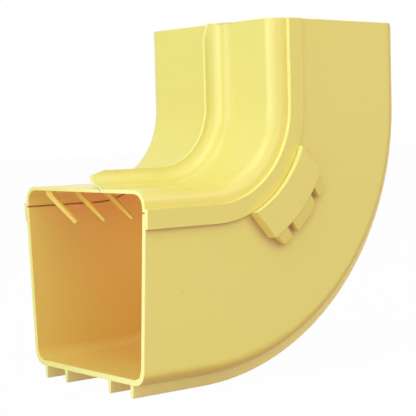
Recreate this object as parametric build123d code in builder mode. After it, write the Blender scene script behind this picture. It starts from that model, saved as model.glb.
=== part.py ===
"""Vertical elbow of a fibre raceway: a trough that bends up through a right angle, and its two-part cover."""

from build123d import *
import math
import os

# Run of the elbow, in millimetres
leg = 49.4
cover_radius = 45.5

# Trough
rim_height = 94.5
floor_width = 110.0
rim_width = 122.0
floor_wall = 3.2
side_wall = 2.9
trough_corner = 9.0
trough_round = 6.0
trough_flats = 2

# Ribs under the floor, placed from the floor's edges
rib_inset = 11.35
rib_spacing = 21.45
rib_height = 7.3
rib_tip = 1.5
rib_root = 3.0

# Shoulders and skirts of the covers, measured from the rim
cover_rise = 12.6
cover_wall = 2.1
cover_round = 6.9
cover_flats = 3
shoulder_flat = 1.1
skirt_rise = 2.5
skirt_drop = 8.3
skirt_wall = 1.6
skirt_clearance = 0.15
seam_height = 0.9
seam_depth = 1.9

# Lap along the middle of the cover
lap_edge = -17.0
lap_gap = 0.5
lip_wall = 1.9
lip_reach = 9.1
lip_rise = 10.1
lip_straight = 0.8
lip_end_drop = 2.8
lip_end_run = 10.0

# Fingers under the far cover, with their corners as distance from its side wall and drop from its underside
finger_first = 4.0
finger_last = 3.4
finger_count = 3
finger_thickness = 2.0
finger_root = (12.7, 19.2)
finger_neck = (14.0, 3.1)
finger_neck_round = 5.0
finger_knee = (20.9, 2.8)
finger_knee_round = 8.0
finger_tip_upper = (46.1, 18.1)
finger_tip_lower = (43.6, 18.9)
finger_tip_round = 0.6

# Pockets on the trough and tongues on the covers
pocket_height = 20.25
pocket_cheek = 1.5
pocket_flare = 2.0
pocket_wall = 3.6
pocket_clearance = 0.15
pocket_spare_angle = 3.0
tongue_half = 24.0
tongue_inset = 0.05
tongue_side_clearance = 0.2
prong_reach = 8.7
prong_half = 10.5
prong_gap = 5.0
slit_rise = 12.0
prong_corner = 3.0
prong_lean = 2.6
barb_step = 0.3
barb_tip = 3.4

# How far cutting shapes reach past what they cut
overcut = 1.0

# Heights over the underside of the floor
cover_height = rim_height + cover_rise
crown_under = cover_height - cover_wall
skirt_top = rim_height + skirt_rise
skirt_bottom = rim_height - skirt_drop
pocket_top = skirt_bottom - pocket_clearance
pocket_bottom = pocket_top - pocket_height
prong_end = pocket_bottom - prong_reach
lip_base = cover_height + lap_gap
lip_height = cover_height + lip_rise

# Places along the run
bend_radius = cover_radius + cover_height
bend_centre = Vector(leg, 0, bend_radius - floor_wall / 2)
bend_axis = Axis(bend_centre, (0, -1, 0))
draft = (rim_width - floor_width) / 2 / rim_height
pocket_half_face = tongue_half + pocket_cheek
pocket_half_base = pocket_half_face + pocket_flare
pocket_half_angle = math.degrees(math.asin(pocket_half_base / (bend_radius - skirt_top)))
pocket_sweep = pocket_half_angle + pocket_spare_angle


def bend_plane(angle):
    """Plane across the bend, with its origin under the floor and its second axis to the bend's centre."""
    turn = math.radians(angle)
    under_floor = bend_centre + Vector(math.sin(turn), 0, -math.cos(turn)) * bend_radius
    return Plane(under_floor, x_dir=(0, 1, 0), z_dir=(math.cos(turn), 0, math.sin(turn)))


def trough_side(height):
    """Half of the trough's outside width at a height over the underside of its floor."""
    return floor_width / 2 + draft * height


def flats_round(across, height, radius, count, from_turn, to_turn):
    """Corners of an arc about a centre, drawn as flats between two turns from the horizontal."""
    turns = [math.radians(from_turn + (to_turn - from_turn) * step / count) for step in range(count + 1)]
    return [(across + radius * math.cos(turn), height + radius * math.sin(turn), 0) for turn in turns]


def fill(corners):
    """Fills the outline through corners that are given as across, height and rounding."""
    with BuildLine() as border:
        FilletPolyline(
            *[(across, height) for across, height, _ in corners],
            radius=[rounding for _, _, rounding in corners],
            close=True,
        )
    make_face(border.edges())


def along_elbow(corners):
    """Carries one section along the lower leg, round the bend and along the upper leg."""
    with BuildSketch(bend_plane(0).offset(-leg)) as lower:
        fill(corners)
    extrude(lower.sketch, amount=leg)
    with BuildSketch(bend_plane(0)) as turning:
        fill(corners)
    revolve(turning.sketch, axis=bend_axis, revolution_arc=90)
    with BuildSketch(bend_plane(90)) as upper:
        fill(corners)
    extrude(upper.sketch, amount=leg)


def round_bend(corners):
    """Carries one section round the middle of the bend."""
    with BuildSketch(bend_plane(45 - pocket_sweep)) as turning:
        fill(corners)
    revolve(turning.sketch, axis=bend_axis, revolution_arc=2 * pocket_sweep)


# Planes at the middle of the bend: one looks out along the radius, the other lies along the side walls
outward_plane = Plane(bend_centre, x_dir=(1, 0, 1), z_dir=(1, 0, -1))
side_plane = Plane(bend_centre, x_dir=(1, 0, 1), z_dir=(0, 1, 0))

# Section of the trough
rim_outer = rim_width / 2
rim_inner = rim_outer - side_wall
round_height = floor_wall + trough_round
round_across = trough_side(round_height) - side_wall - trough_round
outer_rib = floor_width / 2 - rib_inset
inner_rib = outer_rib - rib_spacing
trough_section = [(-rim_outer, rim_height, 0), (-floor_width / 2, 0, trough_corner)]
for centre in (-outer_rib, -inner_rib, inner_rib, outer_rib):
    trough_section += [
        (centre - rib_root / 2, 0, 0),
        (centre - rib_tip / 2, -rib_height, 0),
        (centre + rib_tip / 2, -rib_height, 0),
        (centre + rib_root / 2, 0, 0),
    ]
trough_section += [
    (floor_width / 2, 0, trough_corner),
    (rim_outer, rim_height, 0),
    (rim_inner, rim_height, 0),
    *flats_round(round_across, round_height, trough_round, trough_flats, 0, -90),
    *flats_round(-round_across, round_height, trough_round, trough_flats, -90, -180),
    (-rim_inner, rim_height, 0),
]

# Sections of the covers
cover_corner = cover_rise - skirt_rise - shoulder_flat
flare_radius = lip_rise - lap_gap - lip_wall - lip_straight
lip_tip = lap_edge + lip_reach
step_foot = lap_edge - lap_gap * math.sqrt(2)
step_back = step_foot - cover_wall * math.sqrt(2)


def skirt_side(height):
    """Distance of a skirt's inner face from the middle of the run at a height over the floor."""
    return trough_side(height) + skirt_clearance


def shoulder(side):
    """Corners of a cover from its crown out over the shoulder, down the skirt and back inside."""
    return [
        (side * (rim_inner + cover_wall), cover_height, cover_corner),
        (side * (rim_inner + cover_wall), skirt_top, 0),
        (side * (skirt_side(skirt_top) + skirt_wall), skirt_top, 0),
        (side * (skirt_side(skirt_bottom) + skirt_wall), skirt_bottom, 0),
        (side * skirt_side(skirt_bottom), skirt_bottom, 0),
        (side * skirt_side(rim_height), rim_height, 0),
        (side * (rim_inner + seam_depth), rim_height, 0),
        (side * (rim_inner + seam_depth), rim_height + seam_height, 0),
        (side * rim_inner, rim_height + seam_height, 0),
        *flats_round(
            side * (rim_inner - cover_round),
            crown_under - cover_round,
            cover_round,
            cover_flats,
            90 - 90 * side,
            90,
        ),
    ]


lipped_section = [
    (lip_tip - lip_wall, lip_height, 0),
    (lip_tip - lip_wall, lip_base + lip_wall, flare_radius),
    (step_back + lap_gap + lip_wall, lip_base + lip_wall, 0),
    (step_back, cover_height, 0),
    *shoulder(-1),
    (step_foot - cover_wall, crown_under, 0),
    (step_foot + lap_gap, lip_base, 0),
    (lip_tip, lip_base, flare_radius + lip_wall),
    (lip_tip, lip_height, 0),
]
fingered_section = [
    (lap_edge, cover_height, 0),
    *shoulder(1),
    (lap_edge - cover_wall, crown_under, 0),
]


def under_cover(inset, drop, rounding):
    """Corner of a finger, from its distance to the far side wall and its drop from the cover's underside."""
    return (rim_inner - inset, crown_under - drop, rounding)


# Corners of one finger, which leans from the cover's underside towards the middle of the run
finger_outline = [
    under_cover(finger_root[1], -cover_wall / 2, 0),
    under_cover(*finger_knee, finger_knee_round),
    under_cover(*finger_tip_upper, finger_tip_round),
    under_cover(*finger_tip_lower, finger_tip_round),
    under_cover(*finger_neck, finger_neck_round),
    under_cover(finger_root[0], -cover_wall / 2, 0),
]

# Sections of the pocket on the near wall and of the tongue that goes through it
slot_depth = skirt_clearance + skirt_wall + pocket_clearance
pocket_depth = slot_depth + pocket_wall
barb_top = pocket_bottom - pocket_clearance


def near_band(bottom, top, inner, outer):
    """Corners of a band outside the near wall, between two heights and two distances from the wall's face."""
    return [
        (-(trough_side(top) + inner), top, 0),
        (-(trough_side(top) + outer), top, 0),
        (-(trough_side(bottom) + outer), bottom, 0),
        (-(trough_side(bottom) + inner), bottom, 0),
    ]


pocket_section = near_band(pocket_bottom, pocket_top, -side_wall / 2, pocket_depth)
slot_section = near_band(pocket_bottom - overcut, pocket_top + overcut, -side_wall, slot_depth)
tongue_root = (skirt_top + skirt_bottom) / 2
tongue_inner = skirt_clearance + tongue_inset
tongue_outer = skirt_clearance + skirt_wall - tongue_inset
tongue_section = [
    (-(trough_side(tongue_root) + tongue_inner), tongue_root, 0),
    (-(trough_side(tongue_root) + tongue_outer), tongue_root, 0),
    (-(trough_side(barb_top) + tongue_outer), barb_top, 0),
    (-(trough_side(barb_top) + pocket_depth - barb_step), barb_top, 0),
    (-(trough_side(prong_end) + tongue_inner + barb_tip), prong_end, 0),
    (-(trough_side(prong_end) + tongue_inner), prong_end, 0),
]

# Outlines of the pocket, seen along the radius, and of the tongue, seen from the side
pocket_foot = trough_side(pocket_bottom) - side_wall
pocket_face = trough_side(pocket_top) + pocket_depth + overcut
pocket_outline = [
    (-pocket_half_base, pocket_foot, 0),
    (-pocket_half_face, pocket_face, 0),
    (pocket_half_face, pocket_face, 0),
    (pocket_half_base, pocket_foot, 0),
]
prong_top = bend_radius - pocket_bottom
prong_bottom = bend_radius - prong_end
slit_top = prong_top - slit_rise
tongue_top = bend_radius - skirt_top
slit_outer = prong_half + prong_gap
past_prong = prong_bottom + prong_corner
tongue_outline = [
    (-tongue_half, tongue_top, 0),
    (-tongue_half, prong_top, 0),
    (prong_lean - tongue_half, past_prong, 0),
    (-slit_outer, past_prong, 0),
    (-slit_outer, slit_top, 0),
    (-prong_half, slit_top, 0),
    (-prong_half, past_prong, 0),
    (prong_half - 2 * prong_corner, past_prong, 0),
    (prong_half, prong_bottom - prong_corner, 0),
    (prong_half, slit_top, 0),
    (slit_outer, slit_top, 0),
    (slit_outer, past_prong, 0),
    (tongue_half - prong_lean, past_prong, 0),
    (tongue_half, prong_top, 0),
    (tongue_half, tongue_top, 0),
]

with BuildPart() as slot:
    round_bend(slot_section)
    with BuildSketch(outward_plane):
        Rectangle(2 * (tongue_half + tongue_side_clearance), 2 * rim_width)
    extrude(amount=bend_radius, mode=Mode.INTERSECT)

with BuildPart() as pocket:
    round_bend(pocket_section)
    with BuildSketch(outward_plane) as pocket_shape:
        fill(pocket_outline)
    extrude(amount=bend_radius, mode=Mode.INTERSECT)
    add(slot.part, mode=Mode.SUBTRACT)

with BuildPart() as tongue:
    round_bend(tongue_section)
    with BuildSketch(side_plane) as tongue_shape:
        fill(tongue_outline)
    extrude(amount=-rim_width, mode=Mode.INTERSECT)

with BuildPart() as trough:
    along_elbow(trough_section)
    add(pocket.part)
    mirror(pocket.part, about=Plane.XZ)

# The lip of the near cover drops towards both ends
lower_side = Plane((0, 0, -floor_wall / 2), x_dir=(1, 0, 0), z_dir=(0, -1, 0))
upper_end = bend_centre + Vector(bend_radius, 0, leg)
upper_side = Plane(upper_end, x_dir=(0, 0, -1), z_dir=(0, 1, 0))
lip_drop = [
    (-overcut, lip_height - lip_end_drop, 0),
    (0, lip_height - lip_end_drop, 0),
    (lip_end_run, lip_height, 0),
    (lip_end_run, lip_height + overcut, 0),
    (-overcut, lip_height + overcut, 0),
]
with BuildPart() as lipped_cover:
    along_elbow(lipped_section)
    add(tongue.part)
    for end_side in (lower_side, upper_side):
        with BuildSketch(end_side) as drop_shape:
            fill(lip_drop)
        extrude(amount=rim_outer, both=True, mode=Mode.SUBTRACT)

finger_pitch = (leg - finger_first - finger_last - finger_thickness) / (finger_count - 1)
with BuildPart() as fingered_cover:
    along_elbow(fingered_section)
    mirror(tongue.part, about=Plane.XZ)
    for place in range(finger_count):
        setback = finger_first + place * finger_pitch
        for across_run in (
            bend_plane(0).offset(setback - leg),
            bend_plane(90).offset(leg - setback - finger_thickness),
        ):
            with BuildSketch(across_run) as finger_shape:
                fill(finger_outline)
            extrude(amount=finger_thickness)

os.makedirs("parts", exist_ok=True)
trough.part.label = "trough"
export_step(trough.part, "parts/trough.step")
lipped_cover.part.label = "lipped_cover"
export_step(lipped_cover.part, "parts/lipped_cover.step")
fingered_cover.part.label = "fingered_cover"
export_step(fingered_cover.part, "parts/fingered_cover.step")
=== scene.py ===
"""Finishes the raceway elbow in its yellow moulded plastic and sets it up in a plain studio."""

import math
from types import SimpleNamespace

import bpy
from bpy.props import FloatProperty, FloatVectorProperty, PointerProperty
from mathutils import Matrix, Vector


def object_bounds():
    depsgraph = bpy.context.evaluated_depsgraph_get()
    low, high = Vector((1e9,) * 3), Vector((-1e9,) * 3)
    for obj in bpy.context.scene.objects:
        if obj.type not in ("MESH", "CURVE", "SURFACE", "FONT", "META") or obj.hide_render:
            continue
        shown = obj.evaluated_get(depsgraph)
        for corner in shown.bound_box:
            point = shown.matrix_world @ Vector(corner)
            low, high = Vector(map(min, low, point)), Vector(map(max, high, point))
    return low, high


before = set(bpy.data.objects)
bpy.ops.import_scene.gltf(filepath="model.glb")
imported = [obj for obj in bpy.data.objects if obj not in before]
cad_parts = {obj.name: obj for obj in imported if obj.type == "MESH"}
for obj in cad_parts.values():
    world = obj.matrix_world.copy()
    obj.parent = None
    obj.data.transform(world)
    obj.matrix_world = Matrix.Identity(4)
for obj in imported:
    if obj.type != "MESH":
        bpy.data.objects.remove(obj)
cad_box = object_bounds()

bl_info = {
    "name": "Raceway elbow finish",
    "version": (1, 0, 0),
    "blender": (4, 5, 0),
    "location": "View3D > Sidebar > Raceway",
    "description": "Moulded plastic finish and studio for a fibre raceway elbow",
    "category": "Material",
}

IMAGE_SIDE = 416

# Softboxes: name, place and side in metres, power in watts, colour
SOFTBOXES = (
    ("key", (-0.95, -0.5, 1.75), 1.3, 11.0, (0.82, 0.99, 1.0)),
    ("left", (-1.6, 0.1, 0.25), 1.0, 10.5, (0.83, 0.96, 1.0)),
    ("top", (0.1, 0.0, 2.0), 1.5, 6.2, (0.62, 0.92, 1.0)),
    ("near", (-1.3, -0.9, 0.3), 0.9, 5.1, (0.69, 0.855, 1.0)),
    ("fill", (0.2, -1.6, 0.9), 1.2, 5.5, (1.0, 0.755, 0.77)),
    ("right", (0.9, -0.9, 1.3), 0.9, 3.8, (1.0, 0.88, 0.68)),
)
SKY_COLOUR = (1.0, 0.91, 0.70)
WHITE = (1.0, 1.0, 1.0)

# Floor and camera, in metres, and the sensor in millimetres
FLOOR_HALF_SIDE = 6.0
FLOOR_DROP = 0.0002
CLIP_START = 0.01
CLIP_END = 50.0
SENSOR_WIDTH = 36.0

# Way across the run, from the near side to the far one
ACROSS = (0.0, 1.0, 0.0)

# Fades by place, in metres: where a share starts, where it is full, and the two shares if not 0 and 1
INSIDE_DEPTH = (-0.0005, -0.0002)
FINGER_DEPTH = (0.004, 0.006)
SEAM_DEPTH = (-0.0020, -0.0018)
SEAM_FROM_RIM = (0.003, 0.0015)
CORNER_DEPTH = (0.0, 0.0002)
END_FACE = (0.0004, 0.0001)
END_HIGHLIGHT_ACROSS = (0.04, -0.05, 0.25, 1.0)
ROOF_FROM_END = (0.004, 0.036)
RIBS_FROM_END = (0.0, 0.02, 0.4, 1.0)
RIB_HEIGHT = (0.0, -0.001)
FOOT_TOP_HEIGHT = (0.0068, 0.0028)
FOOT_LOW_HEIGHT = (-0.0015, -0.0003)

# The same, measured from the crown, the skirt, the lap's reach or the half width
OVER_COVER = (0.001, 0.0018)
LIP_LIGHT = (0.0044, 0.0070)
LIP_RIM = (0.0075, 0.0085)
BELOW_CROWN = (-0.002, -0.004)
BELOW_SKIRT = (0.0002, -0.0002)
LAP_EDGE = (0.001, 0.0)
FOOT_ACROSS = (-0.011, -0.005)
BETWEEN_RIBS = (-0.0081, -0.0087)

# Where the roof's painted shade starts, from the rim, and where it is full, from the crown
ROOF_START = -0.024
ROOF_FULL = -0.005

# Share of the crown's height where the glow is full
GLOW_FULL = 0.6

# Fades by cosine: of a face against the bend's axis, the run or the vertical, and of the bend's own turn
LEDGE_TURN = (0.3, 0.7)
LIP_RIM_TURN = (0.6, 0.9)
WALL_TURN = (0.6, 0.2)
LEAN_TURN = (-0.12, -0.30)
UNDERSIDE_TURN = (-0.8, -0.6)
TO_END_TURN = (0.3, 0.6)
LOW_BEND_TURN = (0.46, 0.58)
DOWN_TURN = (-0.2, -0.6)

# Fades of the painted highlight on edges, by the cosine of rounded against flat, and of the painted shade
# in narrow gaps, by how open they are
EDGE_HIGHLIGHT_TURN = (0.995, 0.80, 0.0, 0.6)
GAP_OPENING = (1.0, 0.7, 0.0, 0.9)

# Shares of the painted highlight on ledges and of the painted shade at the foot of the walls and on faces
# that look or lean down
LEDGE_HIGHLIGHT_SHARE = 0.7
FOOT_SHADE_SHARE = 0.45
WARM_SHADE_SHARE = 0.5
LEAN_SHADE_SHARE = 0.2

# Patterns: noise as scale per metre and detail, and shifts that keep the pieces from looking alike
CLOUDS = (14.0, 3.0)
FLOW = (40.0, 4.0)
GRAIN = (1400.0, 2.0)
GRAIN_STRENGTH = 0.5
SPECK_SCALE = 28.0
SPECK_CORE = (0.022, 0.012, 0.0, 0.3)
PATTERN_WAY = (1.0, 0.5, -1.0)
PATTERN_SHIFTS = {"trough": 0.0, "lipped_cover": 0.37, "fingered_cover": 0.71}

# Surface of the plastic
EDGE_SAMPLES = 6
GAP_SAMPLES = 8
IOR = 1.6
SKIN_ROUGHNESS = 0.2
ROUGHNESS_SPREAD = 0.03
GLOSS = 0.5
GLOSS_DROP = -0.45
PASSAGE_DULL = 0.6

# Painted light, as a glow: at the passage's floor, its rise to the full one, between the ribs and on the
# ends
FLOOR_GLOW = 0.1
GLOW_RISE = 1.15
RIB_GLOW = 2.6
END_GLOW = 1.5


class PlasticSettings(bpy.types.PropertyGroup):
    """Colours and surface of the moulded plastic, and the colours of its painted light and shade."""

    colour: FloatVectorProperty(
        name="Colour",
        description="Colour of the plastic",
        subtype="COLOR",
        size=3,
        min=0.0,
        max=1.0,
        default=(0.895, 0.760, 0.188),
    )
    deep_colour: FloatVectorProperty(
        name="Deep colour",
        description="Slightly deeper tone in the slow clouding of the plastic",
        subtype="COLOR",
        size=3,
        min=0.0,
        max=1.0,
        default=(0.885, 0.747, 0.183),
    )
    # Painted shade: a slightly fuller copy of the plastic for the far cover
    far_shade_colour: FloatVectorProperty(
        name="Far colour",
        description="Slightly fuller tone of the far cover",
        subtype="COLOR",
        size=3,
        min=0.0,
        max=1.0,
        default=(0.895, 0.748, 0.168),
    )
    # Painted highlight on the cut ends, the ledges and the edges
    painted_highlight_colour: FloatVectorProperty(
        name="Edge colour",
        description="Paler tone of the cut ends and rubbed edges",
        subtype="COLOR",
        size=3,
        min=0.0,
        max=1.0,
        default=(1.0, 0.95, 0.36),
    )
    hollow_colour: FloatVectorProperty(
        name="Hollow colour",
        description="More orange tone deep in the passage, where the walls light each other",
        subtype="COLOR",
        size=3,
        min=0.0,
        max=1.0,
        default=(0.940, 0.648, 0.184),
    )
    # Painted shade on the underside of the covers
    roof_shade_colour: FloatVectorProperty(
        name="Roof colour",
        description="Redder tone on the underside of the covers",
        subtype="COLOR",
        size=3,
        min=0.0,
        max=1.0,
        default=(0.96, 0.57, 0.22),
    )
    # Painted light of the passage on the thin fingers and on inside faces that look along the run
    finger_light_colour: FloatVectorProperty(
        name="Finger colour",
        description="Fuller tone of the thin fingers",
        subtype="COLOR",
        size=3,
        min=0.0,
        max=1.0,
        default=(0.93, 0.67, 0.15),
    )
    # Painted light on the lip along the lap, cooler than the plastic
    lip_light_colour: FloatVectorProperty(
        name="Lip colour",
        description="Cooler tone of the lip along the lap",
        subtype="COLOR",
        size=3,
        min=0.0,
        max=1.0,
        default=(0.855, 0.762, 0.205),
    )
    # Painted light from the floor on the ribs
    rib_light_colour: FloatVectorProperty(
        name="Rib colour",
        description="Paler tone of the ribs under the floor",
        subtype="COLOR",
        size=3,
        min=0.0,
        max=1.0,
        default=(0.96, 0.79, 0.27),
    )
    # Painted light: a glow in the passage, between the ribs and on the ends
    glow_colour: FloatVectorProperty(
        name="Glow colour",
        description="Tone of the light that comes through the walls into the passage",
        subtype="COLOR",
        size=3,
        min=0.0,
        max=1.0,
        default=(0.84, 0.46, 0.24),
    )
    glow: FloatProperty(
        name="Glow",
        description="Strength of the light that comes through the walls into the passage",
        min=0.0,
        default=0.060,
    )
    # Painted shade in narrow gaps, under the skirts and at the foot of the walls
    crevice_shade_colour: FloatVectorProperty(
        name="Crevice colour",
        description="Brown tone of narrow gaps and inside corners",
        subtype="COLOR",
        size=3,
        min=0.0,
        max=1.0,
        default=(0.60, 0.32, 0.085),
    )
    # Painted shade in the seam along the rim
    seam_shade_colour: FloatVectorProperty(
        name="Seam colour",
        description="Red-brown tone of the seam along the rim",
        subtype="COLOR",
        size=3,
        min=0.0,
        max=1.0,
        default=(0.85, 0.27, 0.28),
    )
    # How far the painted shade reaches from a neighbouring face
    crevice_shade_reach: FloatProperty(
        name="Crevice reach",
        description="How far from a neighbouring face the brown tone reaches",
        unit="LENGTH",
        min=0.0,
        default=0.008,
    )
    speck_colour: FloatVectorProperty(
        name="Speck colour",
        description="Tone of the odd speck in the moulding",
        subtype="COLOR",
        size=3,
        min=0.0,
        max=1.0,
        default=(0.55, 0.38, 0.10),
    )
    roughness: FloatProperty(
        name="Roughness",
        description="Mean roughness of the satin surface",
        subtype="FACTOR",
        min=0.0,
        max=1.0,
        default=0.36,
    )
    skin: FloatProperty(
        name="Skin",
        description="Weight of the thin glossy skin, which shows at a glancing angle",
        subtype="FACTOR",
        min=0.0,
        max=1.0,
        default=0.25,
    )
    grain: FloatProperty(
        name="Grain depth",
        description="Height of the fine moulded grain",
        unit="LENGTH",
        min=0.0,
        default=0.00002,
    )
    edge_round: FloatProperty(
        name="Edge round",
        description="Radius that edges look broken to",
        unit="LENGTH",
        min=0.0,
        default=0.0004,
    )
    lap_round: FloatProperty(
        name="Lap round",
        description="Radius that the step at the foot of the lip looks rounded to",
        unit="LENGTH",
        min=0.0,
        default=0.0035,
    )


class PassageSettings(bpy.types.PropertyGroup):
    """Sizes of the passage that the walls close in, as in the solids."""

    leg: FloatProperty(
        name="Leg",
        description="Straight run at each end",
        unit="LENGTH",
        default=0.0494,
    )
    bend_radius: FloatProperty(
        name="Bend radius",
        description="From the bend's axis to the underside of the floor",
        unit="LENGTH",
        default=0.1526,
    )
    floor_wall: FloatProperty(
        name="Floor wall",
        description="Floor thickness",
        unit="LENGTH",
        default=0.0032,
    )
    crown: FloatProperty(
        name="Crown",
        description="Underside of the covers over the underside of the floor",
        unit="LENGTH",
        default=0.1050,
    )
    half_width: FloatProperty(
        name="Half width",
        description="From the middle to the inner face of a side wall, at the floor's underside",
        unit="LENGTH",
        default=0.0521,
    )
    rim: FloatProperty(
        name="Rim",
        description="Top of the side walls over the underside of the floor",
        unit="LENGTH",
        default=0.0945,
    )
    draft: FloatProperty(name="Draft", description="Lean of the side walls", default=0.0635)
    skirt: FloatProperty(
        name="Skirt",
        description="Lower edge of the skirts over the underside of the floor",
        unit="LENGTH",
        default=0.0862,
    )
    lap: FloatProperty(
        name="Lap",
        description="Middle of the step at the foot of the lip, across the run",
        unit="LENGTH",
        default=-0.0183,
    )
    lap_reach: FloatProperty(
        name="Lap reach",
        description="Half width of that step",
        unit="LENGTH",
        default=0.005,
    )
    corner: FloatProperty(
        name="Corner",
        description="Radius of the corners",
        unit="LENGTH",
        default=0.0065,
    )
    # The painted light of the passage grows from each end to its full tone over this depth
    mouth_depth: FloatProperty(
        name="Mouth depth",
        description="How far from an end the passage takes on its full tone",
        unit="LENGTH",
        default=0.060,
    )
    mouth_share: FloatProperty(
        name="Mouth share",
        description="Share of the full tone right at an end",
        subtype="FACTOR",
        min=0.0,
        max=1.0,
        default=0.6,
    )


class StageSettings(bpy.types.PropertyGroup):
    """Floor, lamps and camera."""

    floor_colour: FloatVectorProperty(
        name="Floor",
        description="Colour of the floor",
        subtype="COLOR",
        size=3,
        min=0.0,
        max=1.0,
        default=(0.72, 0.72, 0.79),
    )
    floor_white: FloatProperty(
        name="Floor white",
        description="Share of the floor that shows as plain white",
        subtype="FACTOR",
        min=0.0,
        max=1.0,
        default=0.98,
    )
    sky: FloatProperty(
        name="Sky",
        description="Strength of the light from all around",
        min=0.0,
        default=0.372,
    )
    lamps: FloatProperty(
        name="Lamps",
        description="Strength of all the lamps together",
        min=0.0,
        default=1.0,
    )
    focal: FloatProperty(
        name="Focal length",
        description="Focal length in pixels of the picture",
        min=1.0,
        default=1309.0,
    )
    eye: FloatVectorProperty(
        name="Eye",
        description="Where the camera stands",
        subtype="TRANSLATION",
        unit="LENGTH",
        size=3,
        default=(-0.4105, -0.6234, 0.1378),
    )
    yaw: FloatProperty(
        name="Yaw",
        description="Turn of the camera from +Y towards +X",
        subtype="ANGLE",
        default=math.radians(38.87),
    )
    pitch: FloatProperty(
        name="Pitch",
        description="Tilt of the camera below the level",
        subtype="ANGLE",
        default=math.radians(3.49),
    )
    roll: FloatProperty(
        name="Roll",
        description="Turn of the camera about its own line of sight",
        subtype="ANGLE",
        default=math.radians(1.503),
    )


class NodeSheet:
    """Adds nodes to a material or a world and joins them by socket."""

    def __init__(self, tree):
        self.tree = tree
        tree.nodes.clear()

    def add(self, kind, **values):
        node = self.tree.nodes.new(kind)
        for name, value in values.items():
            setattr(node, name, value)
        return node

    def feed(self, socket, value):
        """Joins an output to a socket, or sets the socket to a plain value."""
        if isinstance(value, bpy.types.NodeSocket):
            self.tree.links.new(value, socket)
        else:
            socket.default_value = value

    def fill(self, node, values, output):
        """Feeds values to a node's sockets by name or number, and gives one of its outputs."""
        for socket, value in values:
            self.feed(node.inputs[socket], value)
        return node.outputs[output]

    def maths(self, operation, *values):
        node = self.add("ShaderNodeMath", operation=operation)
        return self.fill(node, enumerate(values), "Value")

    def vectors(self, operation, *values):
        node = self.add("ShaderNodeVectorMath", operation=operation)
        return self.fill(node, enumerate(values), "Vector")

    def dot(self, first, second):
        node = self.add("ShaderNodeVectorMath", operation="DOT_PRODUCT")
        return self.fill(node, enumerate((first, second)), "Value")

    def split(self, vector):
        node = self.add("ShaderNodeSeparateXYZ")
        self.feed(node.inputs["Vector"], vector)
        return [node.outputs[axis] for axis in "XYZ"]

    def combine(self, *values):
        return self.fill(self.add("ShaderNodeCombineXYZ"), zip("XYZ", values), "Vector")

    def ramp(self, value, low, high, start=0.0, end=1.0):
        node = self.add("ShaderNodeMapRange", interpolation_type="SMOOTHSTEP")
        names = ("Value", "From Min", "From Max", "To Min", "To Max")
        return self.fill(node, zip(names, (value, low, high, start, end)), "Result")

    def blend(self, share, first, second, kind="RGBA"):
        node = self.add("ShaderNodeMix", data_type=kind)
        return self.fill(node, zip(("Factor", "A", "B"), (share, first, second)), "Result")

    def noise(self, place, scale, detail):
        node = self.add("ShaderNodeTexNoise")
        names = ("Vector", "Scale", "Detail")
        return self.fill(node, zip(names, (place, scale, detail)), "Fac")

    def product(self, first, *others):
        for other in others:
            first = self.maths("MULTIPLY", first, other)
        return first

    def highest(self, first, *others):
        for other in others:
            first = self.maths("MAXIMUM", first, other)
        return first

    def rest(self, share):
        """What is left of 1 beside a share."""
        return self.maths("SUBTRACT", 1.0, share)

    def diagonal(self, first, second):
        """Root of the sum of two squares."""
        squares = self.maths("MULTIPLY_ADD", first, first, self.maths("MULTIPLY", second, second))
        return self.maths("SQRT", squares)


def new_material(name):
    material = bpy.data.materials.new(name)
    material.use_nodes = True
    return material, NodeSheet(material.node_tree)


def solid(colour):
    return (*colour, 1.0)


def measured_from(line, fade):
    """Fade whose ends are measured from a line on the elbow."""
    return [line + end for end in fade]


def spot_on_elbow(sheet, place, sizes):
    """Where a spot lies on the elbow, in the bend's own frame: lengths, and the way to the bend's axis."""
    maths = sheet.maths
    along, across, upward = sheet.split(place)
    axis_height = sizes.bend_radius - sizes.floor_wall / 2

    # Height over the floor's underside, taken towards the bend's axis
    past_leg = maths("MAXIMUM", maths("SUBTRACT", along, sizes.leg), 0.0)
    below_axis = maths("MAXIMUM", maths("SUBTRACT", axis_height, upward), 0.0)
    height = maths("SUBTRACT", sizes.bend_radius, sheet.diagonal(past_leg, below_axis))
    inward = sheet.combine(maths("MULTIPLY", past_leg, -1.0), 0.0, below_axis)

    # How deep the spot lies inside the walls, with rounded corners
    aside = maths("ABSOLUTE", across)
    wall = maths("MULTIPLY_ADD", height, sizes.draft, sizes.half_width)
    from_wall = maths("SUBTRACT", wall, aside)
    from_floor = maths("SUBTRACT", height, sizes.floor_wall)
    from_span = maths("MINIMUM", from_floor, maths("SUBTRACT", sizes.crown, height))
    into_side = maths("MAXIMUM", maths("SUBTRACT", sizes.corner, from_wall), 0.0)
    into_span = maths("MAXIMUM", maths("SUBTRACT", sizes.corner, from_span), 0.0)

    return SimpleNamespace(
        across=across,
        aside=aside,
        height=height,
        into_side=into_side,
        into_span=into_span,
        depth=maths("SUBTRACT", sizes.corner, sheet.diagonal(into_side, into_span)),
        from_end=maths("MINIMUM", along, maths("SUBTRACT", sizes.leg + axis_height, upward)),
        inward=sheet.vectors("NORMALIZE", inward),
    )


def corner_normal(sheet, spot, sizes):
    """Normal that the flats in the corners of the passage would have as true rounds."""
    to_middle = sheet.maths("SIGN", sheet.maths("SUBTRACT", sizes.crown / 2, spot.height))
    lift = sheet.maths("MULTIPLY", spot.into_span, to_middle)
    rise = sheet.maths("MULTIPLY_ADD", spot.into_side, sizes.draft, lift)
    sideways = sheet.product(spot.into_side, -1.0, sheet.maths("SIGN", spot.across))
    lifted = sheet.vectors("MULTIPLY", spot.inward, rise)
    leaning = sheet.vectors("ADD", lifted, sheet.combine(0.0, sideways, 0.0))
    return sheet.vectors("NORMALIZE", leaning)


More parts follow.
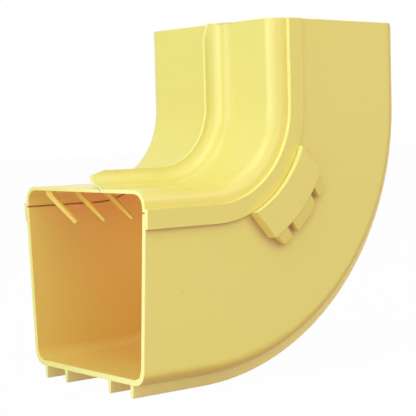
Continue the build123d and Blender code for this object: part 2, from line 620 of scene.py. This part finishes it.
def passage_masks(sheet, spot, normal, sizes):
    """Shares from 0 to 1 for the kinds of places in the passage."""
    inside = sheet.ramp(spot.depth, *INSIDE_DEPTH)
    run = sheet.vectors("CROSS_PRODUCT", spot.inward, ACROSS)
    to_end = sheet.ramp(sheet.maths("ABSOLUTE", sheet.dot(run, normal)), *TO_END_TURN)
    full = sheet.ramp(spot.from_end, 0.0, sizes.mouth_depth, sizes.mouth_share, 1.0)
    under_cover = sheet.ramp(spot.height, sizes.rim + ROOF_START, sizes.crown + ROOF_FULL)
    in_corner = sheet.ramp(sheet.maths("MINIMUM", spot.into_side, spot.into_span), *CORNER_DEPTH)
    from_rim = sheet.maths("ABSOLUTE", sheet.maths("SUBTRACT", spot.height, sizes.rim))
    free = sheet.ramp(spot.depth, *FINGER_DEPTH)
    # The roof and the seam take painted shade, the fingers and the hollow painted light
    return {
        "inside": inside,
        "hollow": sheet.product(inside, full),
        "roof": sheet.product(under_cover, sheet.ramp(spot.from_end, *ROOF_FROM_END), inside),
        "upward": sheet.ramp(spot.height, 0.0, sizes.crown * GLOW_FULL),
        "finger": sheet.highest(free, sheet.product(inside, to_end)),
        "corner": sheet.product(in_corner, inside, sheet.rest(to_end)),
        "seam": sheet.product(sheet.ramp(spot.depth, *SEAM_DEPTH), sheet.ramp(from_rim, *SEAM_FROM_RIM)),
    }


def outer_masks(sheet, spot, normal, sizes, inside):
    """Shares from 0 to 1 for the kinds of places outside the passage."""
    height = spot.height
    outside = sheet.rest(inside)
    at_end = sheet.ramp(spot.from_end, *END_FACE)
    off_end = sheet.product(outside, sheet.rest(at_end))
    facing = sheet.dot(spot.inward, normal)
    over_cover = sheet.ramp(height, *measured_from(sizes.crown, OVER_COVER))
    from_lap = sheet.maths("ABSOLUTE", sheet.maths("SUBTRACT", spot.across, sizes.lap))
    in_lap = sheet.ramp(from_lap, *measured_from(sizes.lap_reach, LAP_EDGE))

    # Ledges look to the bend's axis, under the crown and along the lip's rim, and take a painted highlight
    below_crown = sheet.ramp(height, *measured_from(sizes.crown, BELOW_CROWN))
    lip_rim = sheet.ramp(height, *measured_from(sizes.crown, LIP_RIM))
    low_ledge = sheet.product(sheet.ramp(facing, *LEDGE_TURN), below_crown, outside)
    lip_ledge = sheet.product(sheet.ramp(facing, *LIP_RIM_TURN), lip_rim)

    # Walls lie in shade below the skirts, where these look down
    below_skirt = sheet.ramp(height, *measured_from(sizes.skirt, BELOW_SKIRT))
    over_ribs = sheet.ramp(height, 0.0, sizes.floor_wall)
    low_bend = sheet.ramp(sheet.split(spot.inward)[2], *LOW_BEND_TURN)
    wall_way = sheet.ramp(facing, *WALL_TURN)

    # The foot of the walls turns under the floor, down to the outer ribs, and takes painted shade; faces
    # that lean down take a warmer painted shade, and the ribs painted light from the floor
    foot = sheet.product(sheet.ramp(height, *FOOT_TOP_HEIGHT), sheet.ramp(height, *FOOT_LOW_HEIGHT))
    foot_across = sheet.ramp(spot.aside, *measured_from(sizes.half_width, FOOT_ACROSS))
    lean = sheet.product(sheet.ramp(facing, *LEAN_TURN), sheet.ramp(facing, *UNDERSIDE_TURN))
    rib = sheet.ramp(height, *RIB_HEIGHT)
    inner = sheet.ramp(spot.aside, *measured_from(sizes.half_width, BETWEEN_RIBS))
    # The ends and ledges take a painted highlight, the lip and ribs painted light, and the space between
    # the ribs a painted glow
    return {
        "end": sheet.product(at_end, sheet.ramp(spot.across, *END_HIGHLIGHT_ACROSS)),
        "lap": sheet.product(over_cover, in_lap),
        "lip": sheet.ramp(height, *measured_from(sizes.crown, LIP_LIGHT)),
        "ledge": sheet.highest(low_ledge, lip_ledge),
        "shade": sheet.product(below_skirt, over_ribs, wall_way, low_bend, outside),
        "foot": sheet.product(foot, foot_across, off_end),
        "lean": sheet.product(lean, off_end),
        "rib": rib,
        "between": sheet.product(rib, inner, sheet.ramp(spot.from_end, *RIBS_FROM_END), off_end),
    }


def moulded_tone(sheet, settings, masks, clouds, colour):
    """Clouded plastic with painted light and shade: orange painted light deep in the passage, painted shade
    on the roof, painted light on the fingers, ribs and lip, and a painted highlight on cut ends and ledges.
    """
    tone = sheet.blend(clouds, solid(colour), solid(settings.deep_colour))
    tones = (
        ("hollow", settings.hollow_colour),
        ("roof", settings.roof_shade_colour),
        ("finger", settings.finger_light_colour),
        ("rib", settings.rib_light_colour),
        ("lip", settings.lip_light_colour),
    )
    for mask, place_colour in tones:
        tone = sheet.blend(masks[mask], tone, solid(place_colour))
    # Painted highlight on cut ends and ledges
    highlight_share = sheet.highest(masks["end"], sheet.product(masks["ledge"], LEDGE_HIGHLIGHT_SHARE))
    return sheet.blend(highlight_share, tone, solid(settings.painted_highlight_colour))


def paint_edge_highlight(sheet, settings, masks, tone, rounded, normal):
    """Painted highlight on edges, where the rounded normal leaves the flat one."""
    edge_highlight = sheet.ramp(sheet.dot(rounded, normal), *EDGE_HIGHLIGHT_TURN)
    edge_highlight = sheet.product(edge_highlight, sheet.rest(sheet.highest(masks["lap"], masks["inside"])))
    return sheet.blend(edge_highlight, tone, solid(settings.painted_highlight_colour))


def shade_gaps(sheet, settings, masks, tone, normal):
    """Painted shade: a warmer tone on faces that look down, red-brown in the seam and brown in narrow gaps.
    """
    down = sheet.ramp(sheet.split(normal)[2], *DOWN_TURN)
    # Painted shade, warmer, on faces that look or lean down
    warm_shade = sheet.maths("MULTIPLY_ADD", masks["lean"], LEAN_SHADE_SHARE, sheet.product(down, WARM_SHADE_SHARE))
    tone = sheet.blend(warm_shade, tone, solid(settings.hollow_colour))
    # Painted shade where the surroundings close in
    opening = sheet.add("ShaderNodeAmbientOcclusion", samples=GAP_SAMPLES)
    opening.inputs["Distance"].default_value = settings.crevice_shade_reach
    gap_shade = sheet.product(sheet.ramp(opening.outputs["AO"], *GAP_OPENING), sheet.rest(down))
    tone = sheet.blend(sheet.product(masks["seam"], gap_shade), tone, solid(settings.seam_shade_colour))
    painted_shade = sheet.highest(sheet.product(masks["shade"], gap_shade), sheet.product(masks["foot"], FOOT_SHADE_SHARE))
    return sheet.blend(painted_shade, tone, solid(settings.crevice_shade_colour))


def add_specks(sheet, settings, tone, pattern):
    """The odd speck: the cores of a few far-apart cells."""
    cells = sheet.add("ShaderNodeTexVoronoi", feature="F1")
    cells.inputs["Scale"].default_value = SPECK_SCALE
    sheet.feed(cells.inputs["Vector"], pattern)
    core = sheet.ramp(cells.outputs["Distance"], *SPECK_CORE)
    return sheet.blend(core, tone, solid(settings.speck_colour))


def grained_normal(sheet, settings, pattern, normal):
    """Normal with the fine moulded grain."""
    relief = sheet.add("ShaderNodeBump")
    relief.inputs["Strength"].default_value = GRAIN_STRENGTH
    relief.inputs["Distance"].default_value = settings.grain
    sheet.feed(relief.inputs["Height"], sheet.noise(pattern, *GRAIN))
    sheet.feed(relief.inputs["Normal"], normal)
    return relief.outputs["Normal"]


def plastic_shader(sheet, settings, masks, pattern):
    """Satin shader with a thin glossy skin and a faint painted glow, duller at the foot and in the passage.
    """
    plastic = sheet.add("ShaderNodeBsdfPrincipled")
    plastic.inputs["IOR"].default_value = IOR
    plastic.inputs["Coat Roughness"].default_value = SKIN_ROUGHNESS
    plastic.inputs["Emission Color"].default_value = solid(settings.glow_colour)
    rough = (settings.roughness - ROUGHNESS_SPREAD, settings.roughness + ROUGHNESS_SPREAD)
    satin = sheet.ramp(sheet.noise(pattern, *FLOW), 0.0, 1.0, *rough)
    sheet.feed(plastic.inputs["Roughness"], satin)

    passage_dull = sheet.product(masks["inside"], PASSAGE_DULL)
    dull = sheet.highest(masks["foot"], masks["lean"], masks["finger"], passage_dull)
    skin = sheet.product(sheet.rest(sheet.highest(dull, masks["inside"])), settings.skin)
    sheet.feed(plastic.inputs["Coat Weight"], skin)
    sheet.feed(plastic.inputs["Specular IOR Level"], sheet.maths("MULTIPLY_ADD", dull, GLOSS_DROP, GLOSS))

    # Painted light: a glow in the passage, between the ribs and on the ends
    rise = sheet.maths("MULTIPLY_ADD", masks["upward"], GLOW_RISE, FLOOR_GLOW)
    glow = sheet.product(masks["hollow"], rise)
    glow = sheet.maths("MULTIPLY_ADD", masks["between"], RIB_GLOW, glow)
    glow = sheet.maths("MULTIPLY_ADD", masks["end"], END_GLOW, glow)
    sheet.feed(plastic.inputs["Emission Strength"], sheet.product(glow, settings.glow))
    return plastic


def moulded_plastic(settings, name, shift, colour):
    """Satin plastic with slow clouding, a fine grain, painted highlights on ends and edges, painted shade
    in gaps and the odd speck.
    """
    material, sheet = new_material(name)
    sizes = bpy.context.scene.raceway_passage
    place = sheet.add("ShaderNodeTexCoord").outputs["Object"]
    normal = sheet.add("ShaderNodeNewGeometry").outputs["Normal"]
    moved = sheet.add("ShaderNodeMapping")
    moved.inputs["Location"].default_value = [shift * step for step in PATTERN_WAY]
    sheet.feed(moved.inputs["Vector"], place)
    pattern = moved.outputs["Vector"]

    spot = spot_on_elbow(sheet, place, sizes)
    masks = passage_masks(sheet, spot, normal, sizes)
    masks.update(outer_masks(sheet, spot, normal, sizes, masks["inside"]))

    bevel = sheet.add("ShaderNodeBevel", samples=EDGE_SAMPLES)
    radius = sheet.maths("MULTIPLY_ADD", masks["lap"], settings.lap_round, settings.edge_round)
    sheet.feed(bevel.inputs["Radius"], radius)
    rounded = bevel.outputs["Normal"]

    tone = moulded_tone(sheet, settings, masks, sheet.noise(pattern, *CLOUDS), colour)
    tone = paint_edge_highlight(sheet, settings, masks, tone, rounded, normal)
    tone = shade_gaps(sheet, settings, masks, tone, normal)
    tone = add_specks(sheet, settings, tone, pattern)

    smoothed = sheet.blend(masks["corner"], rounded, corner_normal(sheet, spot, sizes), kind="VECTOR")
    plastic = plastic_shader(sheet, settings, masks, pattern)
    sheet.feed(plastic.inputs["Base Color"], tone)
    sheet.feed(plastic.inputs["Normal"], grained_normal(sheet, settings, pattern, smoothed))
    output = sheet.add("ShaderNodeOutputMaterial")
    sheet.feed(output.inputs["Surface"], plastic.outputs["BSDF"])
    return material


def dress(node, settings, colour):
    """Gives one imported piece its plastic."""
    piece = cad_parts[node]
    piece.data.materials.clear()
    piece.data.materials.append(moulded_plastic(settings, node + "_plastic", PATTERN_SHIFTS[node], colour))


def seen_directly(sheet):
    """Value of 1 for what the camera sees itself, in a mirror or through glass."""
    path = sheet.add("ShaderNodeLightPath").outputs
    return sheet.highest(path["Is Camera Ray"], path["Is Glossy Ray"], path["Is Transmission Ray"])


def mix_shaders(sheet, share, first, second, output):
    """Ends a sheet with two shaders mixed."""
    mixed = sheet.add("ShaderNodeMixShader")
    shader = sheet.fill(mixed, enumerate((share, first, second)), "Shader")
    sheet.feed(sheet.add(output).inputs["Surface"], shader)


def studio_floor(settings):
    """Pale floor just under the lowest point of the elbow."""
    material, sheet = new_material("pale_floor")
    paint = sheet.add("ShaderNodeBsdfDiffuse")
    paint.inputs["Color"].default_value = solid(settings.floor_colour)
    white = sheet.add("ShaderNodeEmission")
    share = sheet.product(seen_directly(sheet), settings.floor_white)
    shaders = (paint.outputs["BSDF"], white.outputs["Emission"])
    mix_shaders(sheet, share, *shaders, "ShaderNodeOutputMaterial")

    low = cad_box[0][2] - FLOOR_DROP
    half = FLOOR_HALF_SIDE
    mesh = bpy.data.meshes.new("floor")
    mesh.from_pydata(
        [(-half, -half, low), (half, -half, low), (half, half, low), (-half, half, low)],
        [],
        [(0, 1, 2, 3)],
    )
    floor = bpy.data.objects.new("floor", mesh)
    bpy.context.scene.collection.objects.link(floor)
    mesh.materials.append(material)


def studio_world(settings):
    """White surroundings, dimmer as a light than as a background."""
    world = bpy.data.worlds.new("studio")
    world.use_nodes = True
    bpy.context.scene.world = world
    sheet = NodeSheet(world.node_tree)
    light = sheet.add("ShaderNodeBackground")
    light.inputs["Color"].default_value = solid(SKY_COLOUR)
    light.inputs["Strength"].default_value = settings.sky
    white = sheet.add("ShaderNodeBackground")
    white.inputs["Color"].default_value = solid(WHITE)
    shaders = (light.outputs["Background"], white.outputs["Background"])
    mix_shaders(sheet, seen_directly(sheet), *shaders, "ShaderNodeOutputWorld")


def softbox(name, place, target, side, power, colour):
    """Square lamp at a place, turned to a target."""
    lamp = bpy.data.lights.new(name, "AREA")
    lamp.shape = "SQUARE"
    lamp.size = side
    lamp.energy = power
    lamp.color = colour
    stand = bpy.data.objects.new(name, lamp)
    stand.location = place
    aim = Vector(target) - Vector(place)
    stand.rotation_euler = aim.to_track_quat("-Z", "Y").to_euler()
    bpy.context.scene.collection.objects.link(stand)


def studio_camera(settings):
    """Camera at the picture's viewpoint."""
    yaw, pitch, roll = settings.yaw, settings.pitch, settings.roll
    level = math.cos(pitch)
    ahead = Vector((math.sin(yaw) * level, math.cos(yaw) * level, -math.sin(pitch)))
    right = Vector((math.cos(yaw), -math.sin(yaw), 0.0))
    up = right.cross(ahead)
    across = math.cos(roll) * right - math.sin(roll) * up
    upward = math.sin(roll) * right + math.cos(roll) * up
    lens = bpy.data.cameras.new("camera")
    lens.sensor_fit = "HORIZONTAL"
    lens.sensor_width = SENSOR_WIDTH
    lens.lens = SENSOR_WIDTH * settings.focal / IMAGE_SIDE
    lens.clip_start = CLIP_START
    lens.clip_end = CLIP_END
    camera = bpy.data.objects.new("camera", lens)
    turn = Matrix((across, upward, -ahead)).transposed().to_4x4()
    camera.matrix_world = Matrix.Translation(Vector(settings.eye)) @ turn
    bpy.context.scene.collection.objects.link(camera)
    bpy.context.scene.camera = camera


class RACEWAY_OT_trough(bpy.types.Operator):
    """Gives the trough its moulded plastic"""

    bl_idname = "raceway.trough"
    bl_label = "Finish the trough"

    def execute(self, context):
        settings = context.scene.raceway_plastic
        dress("trough", settings, settings.colour)
        return {"FINISHED"}


class RACEWAY_OT_covers(bpy.types.Operator):
    """Gives the two covers their moulded plastic"""

    bl_idname = "raceway.covers"
    bl_label = "Finish the covers"

    def execute(self, context):
        settings = context.scene.raceway_plastic
        dress("lipped_cover", settings, settings.colour)
        # The far cover takes painted shade, as a slightly fuller copy of the plastic
        dress("fingered_cover", settings, settings.far_shade_colour)
        return {"FINISHED"}


class RACEWAY_OT_stage(bpy.types.Operator):
    """Sets up the floor, the lamps and the camera"""

    bl_idname = "raceway.stage"
    bl_label = "Set up the studio"

    def execute(self, context):
        settings = context.scene.raceway_stage
        context.scene.view_settings.view_transform = "Standard"
        middle = (Vector(cad_box[0]) + Vector(cad_box[1])) / 2
        studio_floor(settings)
        studio_world(settings)
        for name, place, side, power, colour in SOFTBOXES:
            softbox(name, place, middle, side, power * settings.lamps, colour)
        studio_camera(settings)
        return {"FINISHED"}


class RACEWAY_PT_finish(bpy.types.Panel):
    """Settings and steps of the raceway elbow"""

    bl_idname = "RACEWAY_PT_finish"
    bl_label = "Raceway elbow"
    bl_space_type = "VIEW_3D"
    bl_region_type = "UI"
    bl_category = "Raceway"

    def draw(self, context):
        layout = self.layout
        scene = context.scene
        for group in (scene.raceway_plastic, scene.raceway_passage, scene.raceway_stage):
            box = layout.box()
            for name in group.__annotations__:
                box.prop(group, name)
        for step in (RACEWAY_OT_trough, RACEWAY_OT_covers, RACEWAY_OT_stage):
            layout.operator(step.bl_idname)


CLASSES = (
    PlasticSettings,
    PassageSettings,
    StageSettings,
    RACEWAY_OT_trough,
    RACEWAY_OT_covers,
    RACEWAY_OT_stage,
    RACEWAY_PT_finish,
)


def register():
    for each in CLASSES:
        bpy.utils.register_class(each)
    bpy.types.Scene.raceway_plastic = PointerProperty(type=PlasticSettings)
    bpy.types.Scene.raceway_passage = PointerProperty(type=PassageSettings)
    bpy.types.Scene.raceway_stage = PointerProperty(type=StageSettings)


def unregister():
    del bpy.types.Scene.raceway_stage
    del bpy.types.Scene.raceway_passage
    del bpy.types.Scene.raceway_plastic
    for each in reversed(CLASSES):
        bpy.utils.unregister_class(each)


def main():
    register()
    bpy.ops.raceway.trough()
    bpy.ops.raceway.covers()
    bpy.ops.raceway.stage()


if __name__ == "__main__":
    main()
